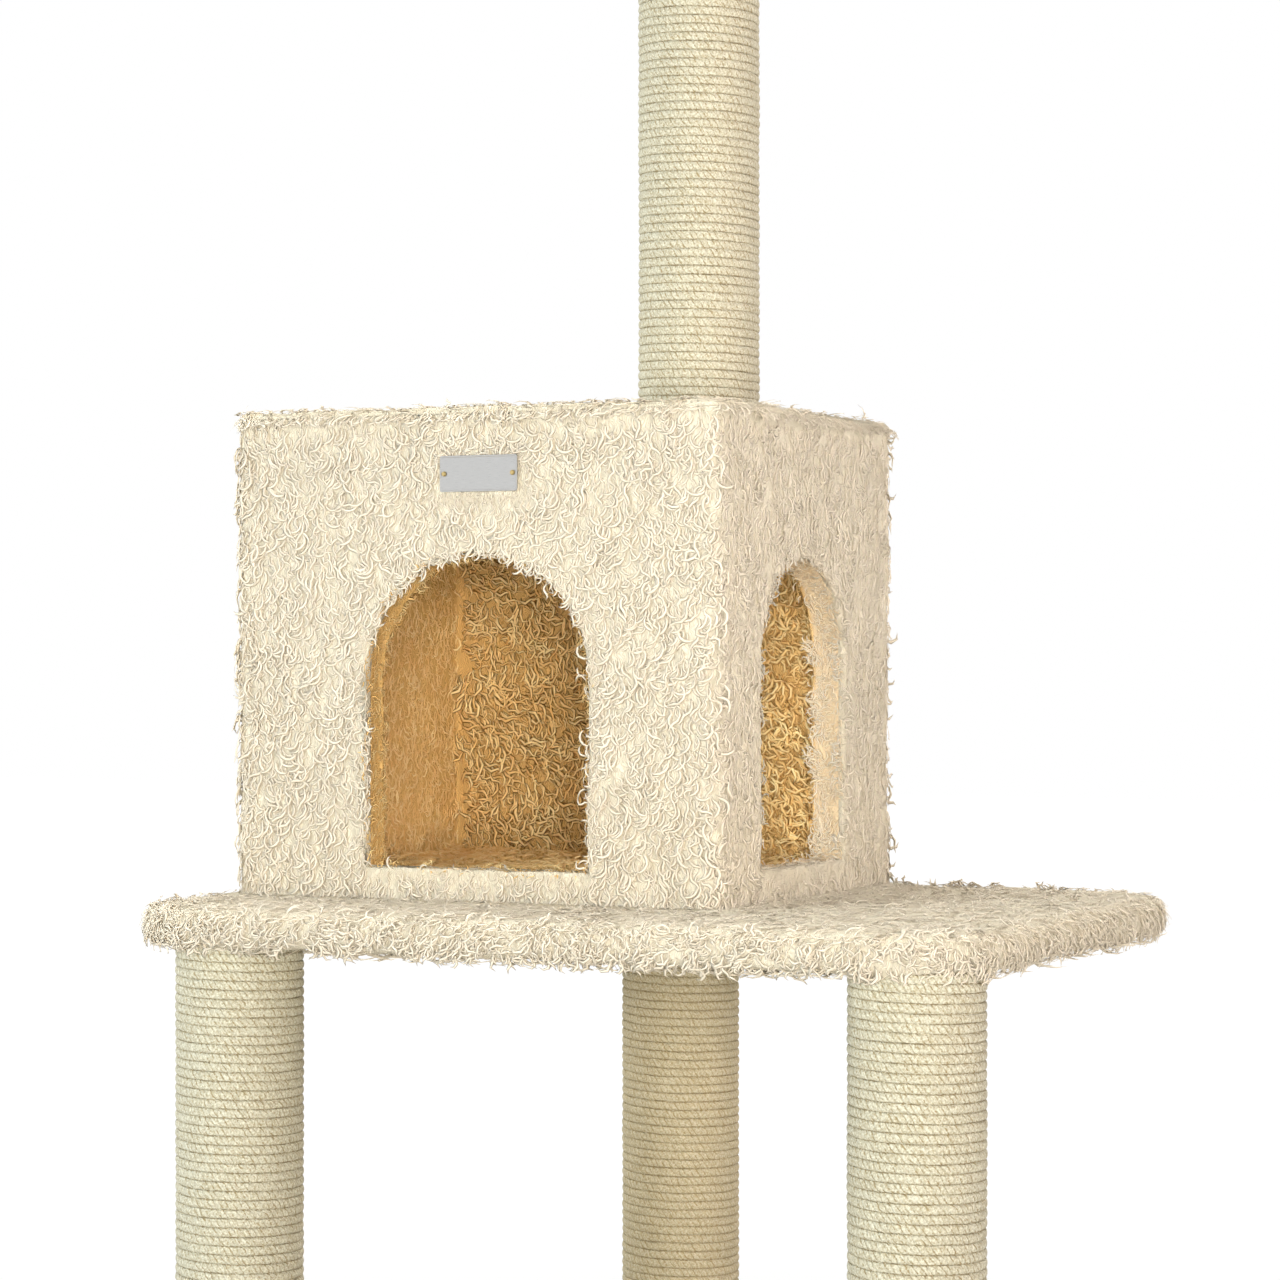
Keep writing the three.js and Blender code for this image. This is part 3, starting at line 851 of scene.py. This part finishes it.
# A door is the axis across it, its centre, its half width and the height of its arch's centre.
FRONT_DOOR = (0, -95.5 * MM, 85.5 * MM, 605.5 * MM)
SIDE_DOOR = (1, 45.5 * MM, 73 * MM, 616 * MM)
SILL = 475 * MM
PLATFORM_BACK = 200 * MM  # the platform's far edge lies behind this
PAST_DOOR = -20 * MM  # the part of the back wall that only the side door shows lies right of this


def door_gap(places, door):
    """How far places on a wall are from a door's opening."""
    axis, centre, half, spring = door
    across = places[:, axis] - centre
    above = (places[:, 2] - spring).clip(0)
    return np.maximum(np.hypot(across, above) - half, SILL - places[:, 2])


def trim(places):
    """How long the pile is at places on the covers, as a share of its full length. It is cut short
    round the doors and the nameplate."""
    share = np.ones(len(places))
    front = places[:, 1] < room_low.y + 8 * MM
    right = places[:, 0] > room_high.x - 8 * MM
    outside = (places[:, 1] < box_low.y + 8 * MM) | (places[:, 0] > box_high.x - 8 * MM)
    least = np.where(outside, 0.45, 0.25)
    for door, wall in ((FRONT_DOOR, front), (SIDE_DOOR, right)):
        near = wall & (places[:, 2] < 786 * MM)
        closeness = least + door_gap(places, door) / (20 * MM)
        share = np.where(near, np.minimum(share, closeness.clip(least, 1)), share)
    x = np.maximum(plate_low.x - places[:, 0], places[:, 0] - plate_high.x)
    z = np.maximum(plate_low.z - places[:, 2], places[:, 2] - plate_high.z)
    beside = np.hypot(x.clip(0), z.clip(0))
    near = places[:, 1] < box_low.y + 8 * MM
    return np.where(near, np.minimum(share, (0.2 + beside / (15 * MM)).clip(0.2, 1)), share)


def grow(name, kind, patches, density, length, lie=NOWHERE, swirl=1.0, cropped=True, **more):
    """Grows one piece of pile on patches of covers. density is in locks per square metre."""
    points = []
    faces = []
    for cover, chosen in patches:
        start = len(points)
        more_points, more_faces = cover.patch(chosen)
        points += more_points
        faces += [[start + i for i in face] for face in more_faces]
    ground = bpy.data.meshes.new("patch")
    ground.from_pydata(points, [], faces)
    share = trim(np.array(points)) if cropped else np.ones(len(points))
    ground.attributes.new("trim", "FLOAT", "POINT").data.foreach_set("value", share)
    finish, slot = kind
    given = {"Density": float(density), "Length": length, "Lie": lie, "Swirl": swirl}
    usual = {"Swirls": 40.0, "Tousle": 0.35, "Locks": curls, "Rise": 1.0, "Grain": (1, 1, 1)}
    piece = growth.make(name, ground, finish, **{**usual, **given, **more})
    lock_map(piece.data)
    settle(piece, slot)


def on_wall(axis, sign):
    """The outside of one of the box's walls, up to the middle of its rounded corners."""
    edge = (box_low, box_high)[sign > 0][axis]

    def chosen(n, c):
        x, y, z = c
        plate = (x > plate_low.x - 1 * MM) & (x < plate_high.x + 1 * MM) & (y < box_low.y + 4 * MM)
        plate &= (z > plate_low.z - 1 * MM) & (z < plate_high.z + 1 * MM)
        return (n[axis] * sign > 0.7) & (abs(c[axis] - edge) < 4 * MM) & ~plate

    return [(walls, chosen)]


def in_room(axis, sign):
    """The inside of one of the box's walls, which looks along an axis."""
    edge = (room_low, room_high)[sign < 0][axis]
    return [(inner_walls, lambda n, c: (n[axis] * sign > 0.7) & (abs(c[axis] - edge) < 4 * MM))]


def reveal(door, *covers):
    """The edges of a doorway, through the given covers."""
    through = 1 - door[0]

    def chosen(n, c):
        near = door_gap(np.array(c).T, door) < 3 * MM
        tall = (c[2] > 470 * MM) & (c[2] < 695 * MM)
        deep = (c[1] < -60 * MM) if through else (c[0] > 55 * MM)
        return (abs(n[through]) < 0.5) & near & tall & deep

    return [(cover, chosen) for cover in covers]


HANGING = (1, 1, 0.55)  # clumps on the walls are taller than they are wide
tufted = {"Locks": tufts}
wall = {"lie": DOWN, "swirl": 0.8, "Grain": HANGING}
grow("box_front_pile", cream_pile, on_wall(1, -1), 62e3, 15 * MM, Rise=0.45, Seed=11, **wall)
wall.update(tufted)
grow("box_right_pile", smooth_cream_pile, on_wall(0, 1), 72e3, 14 * MM, Rise=0.25, Seed=12, **wall)
grow("box_left_pile", cream_pile, on_wall(0, -1), 52e3, 15 * MM, Rise=1.2, Seed=13, **wall)
grow("box_back_pile", cream_pile, on_wall(1, 1), 36e3, 15 * MM, Rise=0.8, Seed=14, **wall)

above = lambda n, c: n[2] > 0.8
rounded = lambda n, c: (n[2] <= 0.8) & (n[2] > -0.2)
fringe = {"lie": DOWN, "swirl": 0.8, "Rise": 0.4, **tufted}
grow("box_roof_pile", cream_pile, [(roof, above)], 36e3, 15 * MM, Rise=0.5, Seed=15, **tufted)
grow("box_roof_edge_pile", smooth_cream_pile, [(roof, rounded)], 170e3, 12 * MM, Seed=24, **fringe)

top_face = lambda n, c: n[2] > 0.6
edge_face = lambda n, c: (n[2] <= 0.95) & (n[2] >= -0.97)
under_face = lambda n, c: n[2] < -0.97
flat = {"Rise": 0.25, **tufted}
skirt = {"lie": DOWN, "swirl": 1.6, **tufted}
grow("platform_top_pile", smooth_cream_pile, [(platform, top_face)], 56e3, 12 * MM, Seed=16, **flat)
for side, kind in (("edge", cream_pile), ("back_edge", smooth_cream_pile)):
    behind = side == "back_edge"
    chosen = lambda n, c: edge_face(n, c) & ((c[1] > PLATFORM_BACK) == behind)
    patches = [(platform, chosen)]
    grow(f"platform_{side}_pile", kind, patches, 100e3, 12 * MM, Rise=0.6, Seed=17, **skirt)
grow("platform_under_pile", cream_pile, [(platform, under_face)], 9e3, 19 * MM, Seed=18, **tufted)
grow("perch_top_pile", cream_pile, [(perch, top_face)], 42e3, 15 * MM, Seed=19, **tufted)
grow("perch_edge_pile", cream_pile, [(perch, edge_face)], 60e3, 13 * MM, Seed=20, **skirt)
grow("perch_under_pile", cream_pile, [(perch, under_face)], 12e3, 18 * MM, Seed=21, **tufted)
# The base's edge has no pile low down, so that none reaches below the floor.
base_side = lambda n, c: (n[2] <= 0.95) & (n[2] >= -0.4) & (c[2] > 10 * MM)
grow("base_top_pile", cream_pile, [(base, top_face)], 15e3, 21 * MM, Seed=22, **tufted)
grow("base_edge_pile", cream_pile, [(base, base_side)], 70e3, 10 * MM, Seed=23, **skirt)

draped = {"lie": DOWN, "swirl": 0.8, **tufted}
combed = {"lie": ASIDE, "swirl": 1.3, "Rise": 1.4, **tufted}
# Right of PAST_DOOR the back wall gets the smooth tan, with less painted shade, as light falls on it
# through the side door.
back_wall = in_room(1, -1)[0][1]
for side, kind, dense in (("back", shade_tan_pile, 52e3), ("back_right", smooth_shade_tan_pile, 60e3)):
    right = side == "back_right"
    chosen = lambda n, c: back_wall(n, c) & ((c[0] > PAST_DOOR) == right)
    grow(f"room_{side}_pile", kind, [(inner_walls, chosen)], dense, 17 * MM, Seed=31, **combed)
grow("room_left_pile", smooth_shade_tan_pile, in_room(0, 1), 70e3, 12 * MM, Rise=0.4, Seed=32, **draped)
grow("room_front_pile", shade_tan_pile, in_room(1, 1), 20e3, 17 * MM, Seed=33, **draped)
grow("room_right_pile", shade_tan_pile, in_room(0, -1), 20e3, 17 * MM, Seed=34, **draped)
floor_face = [(inner_floor, top_face)]
grow("room_floor_pile", smooth_shade_tan_pile, floor_face, 30e3, 14 * MM, Seed=35, **tufted)
grow("room_ceiling_pile", shade_tan_pile, [(ceiling, under_face)], 10e3, 18 * MM, Seed=36, **tufted)

edge = {"cropped": False, "Rise": 0.6, "Locks": tufts}
both = reveal(FRONT_DOOR, walls, inner_walls)
lip = reveal(SIDE_DOOR, walls)
rim = lambda n, c: (abs(door_gap(np.array(c).T, FRONT_DOOR)) < 4 * MM) & (c[1] < box_low.y + 4 * MM)
stray = {"cropped": False, "Tousle": 1.0}
# The front door's edge is drawn in the room's tan, as painted shade, and the side door's edge paler, as
# painted light that falls in through that door.
grow("front_door_pile", shade_tan_pile, both, 120e3, 7 * MM, Seed=37, **edge)
grow("side_door_pile", side_lit_peach_pile, reveal(SIDE_DOOR, inner_walls), 260e3, 8 * MM, Seed=38, **edge)
grow("front_door_stray_pile", cream_pile, [(walls, rim)], 30e3, 11 * MM, Seed=40, **stray)
grow("side_door_lip_pile", smooth_cream_pile, lip, 150e3, 8 * MM, Seed=39, **edge)


# ---- Nameplate --------------------------------------------------------------------------------------
# A thin pressed plate of satin chromed steel with a raised rim, left blank. Two brass-plated pins hold
# it on the plush above the main door.

PLATE_RIM = 1.1 * MM
outline = []
low, high = plate_low, plate_high
corner = 1.8 * MM
right, left = high.x - corner, low.x + corner
top, bottom = high.z - corner, low.z + corner
for turn, (x, z) in enumerate(((right, top), (left, top), (left, bottom), (right, bottom))):
    for step in range(5):
        angle = math.radians(90 * turn + 22.5 * step)
        outline.append((x, z, math.cos(angle), math.sin(angle)))
rings = ((corner, high.y), (corner, low.y + 0.25 * MM), (corner - 0.25 * MM, low.y))
rings += ((corner - PLATE_RIM, low.y), (corner - PLATE_RIM - 0.3 * MM, low.y + 0.3 * MM))
points = [(x + c * r, y, z + s * r) for r, y in rings for x, z, c, s in outline]
count = len(outline)
faces = []
for ring in range(len(rings) - 1):
    this, following = ring * count, (ring + 1) * count
    for i in range(count):
        j = (i + 1) % count
        faces.append((this + i, this + j, following + j, following + i))
faces.append(tuple(range(count)))
faces.append(tuple(reversed(range((len(rings) - 1) * count, len(rings) * count))))
pressed = bpy.data.meshes.new("name_plate_face")
pressed.from_pydata(points, [], faces)
chrome = Finish("satin_chrome", {"Metallic": 1, "Roughness": 0.3})
drawn = chrome.vector("MULTIPLY", chrome.place(), (0.04, 1, 1))
lines = chrome.noise(drawn, 0.25 * MM, 3)
chrome.feed("Base Color", chrome.mix(lines, (0.5, 0.5, 0.5, 1), (0.72, 0.72, 0.7, 1)))
chrome.feed("Roughness", lines * 0.2 + 0.2)
pressed.materials.append(chrome.material)
settle(shown("name_plate_face", pressed), "chrome", "name_plate")

brass = Finish("brass_plated_pin", {"Metallic": 1, "Roughness": 0.3})
dulled = brass.noise(brass.place(), 0.8 * MM, 2)
brass.feed("Base Color", brass.mix(dulled, (0.62, 0.45, 0.18, 1), (0.82, 0.66, 0.32, 1)))
paint(brass, *(name for name in cad if "pin" in name))


# ---- Floor, light and camera ------------------------------------------------------------------------
# A white studio: a plain pale floor, a large soft lamp overhead, three weaker ones in front and to the
# right, and two to the left and behind. Floor and air look white, and the floor holds the shadow.

scene = bpy.context.scene
scene.view_settings.view_transform = "Standard"

ground = bpy.data.meshes.new("floor")
reach = 12
corners = [(x * reach, y * reach, -1 * MM) for x, y in ((-1, -1), (1, -1), (1, 1), (-1, 1))]
ground.from_pydata(corners, [], [(0, 1, 2, 3)])
floor = shown("floor", ground)
floor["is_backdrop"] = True
pale = Finish("white_floor", {"Base Color": (0.7, 0.7, 0.7, 1), "Roughness": 0.9})


def seen(graph):
    """1 for a ray from the camera, and for one that a part of the tree mirrors or lets through."""
    rays = graph.tree.nodes.new("ShaderNodeLightPath")
    sight = Value(graph, rays.outputs["Is Camera Ray"])
    for kind in ("Is Glossy Ray", "Is Transmission Ray"):
        sight = sight.math("MAXIMUM", Value(graph, rays.outputs[kind]))
    return sight


glow = pale.node("ShaderNodeEmission", None, {"Color": (1, 1, 1, 1), "Strength": 1.05})
out = pale.node("ShaderNodeVectorMath", {"operation": "LENGTH"}, {0: pale.place()}, 1)
clear = pale.spread(out, 0.45, 1.5) * 0.45 + 0.55  # the shadow shows near the base only
shader = Value(pale, pale.shader.outputs["BSDF"])
blend = pale.node("ShaderNodeMixShader", None, {0: seen(pale) * clear, 1: shader, 2: glow})
pale.tree.links.new(blend.socket, pale.tree.nodes["Material Output"].inputs["Surface"])
ground.materials.append(pale.material)

AIR_LIGHT = 0.08  # the share of a white air's light that falls on the tree
world = bpy.data.worlds.new("studio")
scene.world = world
world.use_nodes = True
air = Graph(world.node_tree)
background = world.node_tree.nodes["Background"]
glow = seen(air) * (1 - AIR_LIGHT) + AIR_LIGHT
world.node_tree.links.new(glow.socket, background.inputs["Strength"])
background.inputs["Color"].default_value = (1, 1, 1, 1)

LAMP_DISTANCE = 3


def lamp(name, azimuth, height, size, power, spread, level, colour):
    """A round soft lamp, aimed at a level of the tree. Its angles are in degrees."""
    target = Vector((-0.05, 0, level))
    turn, rise = math.radians(azimuth), math.radians(height)
    away = Vector((math.sin(turn) * math.cos(rise), -math.cos(turn) * math.cos(rise), math.sin(rise)))
    data = bpy.data.lights.new(name, "AREA")
    data.shape = "DISK"
    data.size = size
    data.energy = power
    data.spread = math.radians(spread)
    data.color = colour
    made = bpy.data.objects.new(name, data)
    made.location = target + away * LAMP_DISTANCE
    made.rotation_euler = (-away).to_track_quat("-Z", "Y").to_euler()
    made.visible_glossy = False
    bpy.context.collection.objects.link(made)


lamp("overhead_lamp", 0, 85, 1.8, 110, 180, 0.95, (0.99, 1, 0.95))
lamp("front_lamp", 27, -3, 1.0, 10.4, 60, 0.82, (0.99, 0.94, 0.84))
lamp("left_lamp", -30, 5, 1.4, 7.8, 60, 0.7, (0.8, 0.92, 1))
lamp("far_left_lamp", -105, 12, 1.6, 10, 60, 0.7, (0.95, 0.98, 1))
lamp("right_lamp", 88, 4, 1.6, 7, 60, 0.95, (1, 0.91, 0.9))
lamp("back_lamp", 180, 15, 1.8, 12, 60, 0.7, (1, 0.98, 0.94))

lens = bpy.data.cameras.new("camera")
lens.lens = 101.3
lens.sensor_width = 36
lens.shift_y = 0.0064
camera = bpy.data.objects.new("camera", lens)
camera.location = (1.0855, -2.2592, 0.6255)
camera.rotation_euler = (math.radians(90), 0, math.radians(26))
bpy.context.collection.objects.link(camera)
scene.camera = camera

low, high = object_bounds()
